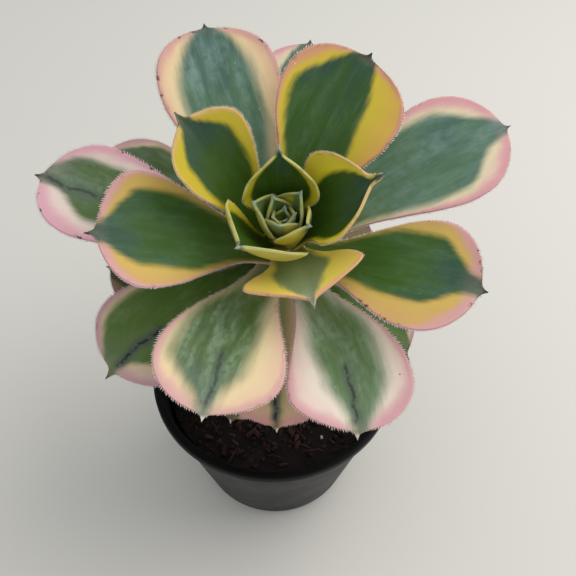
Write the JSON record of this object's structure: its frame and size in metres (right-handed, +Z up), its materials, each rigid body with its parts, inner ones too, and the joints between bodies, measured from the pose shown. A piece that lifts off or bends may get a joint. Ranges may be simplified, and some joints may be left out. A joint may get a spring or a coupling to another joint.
{
  "type": "potted aeonium",
  "caption": "Variegated succulent with one leaning rosette of spoon-shaped leaves on a short bare stem, planted in a round tapered nursery pot.",
  "frame": {"origin": "centre of the pot's underside, on the surface that it stands on", "axes": "+Z up along the pot's axis; -Y towards the side that the rosette leans to, which is the viewer's side; +X to the viewer's right"},
  "size_m": [0.1524, 0.1319, 0.1696],
  "materials": {
    "pot": "satin",
    "soil": "matte",
    "stem": "matte",
    "heart_leaves": "satin",
    "inner_leaves": "satin",
    "outer_leaves": "satin"
  },
  "bodies": {
    "root": {"pot": "pot", "soil": "soil", "stem": "stem", "heart": "heart_leaves", "leaf_01": "inner_leaves", "leaf_02": "inner_leaves", "leaf_03": "inner_leaves", "leaf_04": "inner_leaves", "leaf_05": "inner_leaves", "leaf_06": "inner_leaves", "leaf_07": "inner_leaves", "leaf_08": "inner_leaves", "leaf_09": "outer_leaves", "leaf_10": "outer_leaves", "leaf_11": "outer_leaves", "leaf_12": "outer_leaves", "leaf_13": "outer_leaves", "leaf_14": "outer_leaves", "leaf_15": "outer_leaves", "leaf_16": "outer_leaves", "leaf_17": "outer_leaves", "leaf_18": "outer_leaves", "leaf_19": "outer_leaves", "leaf_20": "outer_leaves", "leaf_21": "outer_leaves", "leaf_22": "outer_leaves", "leaf_23": "outer_leaves", "leaf_24": "outer_leaves"}
  },
  "joints": []
}
